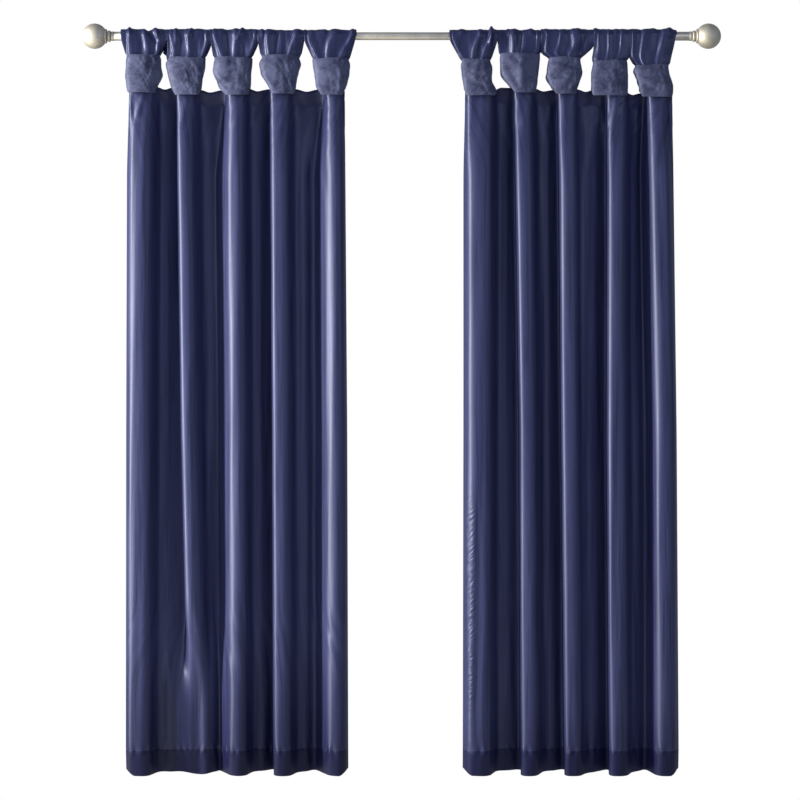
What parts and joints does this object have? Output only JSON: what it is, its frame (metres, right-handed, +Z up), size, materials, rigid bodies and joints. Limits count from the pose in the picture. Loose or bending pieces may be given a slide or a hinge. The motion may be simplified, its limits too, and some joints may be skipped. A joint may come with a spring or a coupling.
{
  "type": "tab top curtain pair and rod",
  "caption": "Pair of gathered tab top curtain panels hanging in deep folds from a plain metal rod with ball finials, each loop drawn in by a wrapped band.",
  "frame": {"origin": "on the rod's axis, halfway along the rod", "axes": "+X along the rod to the right as seen from the room, -Y into the room, +Z up"},
  "size_m": [1.827, 0.0756, 2.143],
  "materials": {
    "rod_metal": "brushed nickel, soft sheen",
    "finial_metal": "satin nickel casting, darker in the grooves",
    "curtain_cloth": "navy faux silk with a vertical slub and a cool sheen on the folds",
    "tab_cloth": "the same navy faux silk, gathered",
    "band_cloth": "the same navy cloth laid crosswise, crushed, with a velvety bloom"
  },
  "bodies": {
    "root": {"rod_middle": "rod_metal", "rod_left": "rod_metal", "rod_right": "rod_metal", "finial_left": "finial_metal", "finial_right": "finial_metal", "panel_left": "curtain_cloth", "panel_right": "curtain_cloth", "tab_left_1": "tab_cloth", "tab_left_2": "tab_cloth", "tab_left_3": "tab_cloth", "tab_left_4": "tab_cloth", "tab_left_5": "tab_cloth", "tab_right_1": "tab_cloth", "tab_right_2": "tab_cloth", "tab_right_3": "tab_cloth", "tab_right_4": "tab_cloth", "tab_right_5": "tab_cloth", "band_left_1": "band_cloth", "band_left_2": "band_cloth", "band_left_3": "band_cloth", "band_left_4": "band_cloth", "band_left_5": "band_cloth", "band_right_1": "band_cloth", "band_right_2": "band_cloth", "band_right_3": "band_cloth", "band_right_4": "band_cloth", "band_right_5": "band_cloth"}
  },
  "joints": []
}
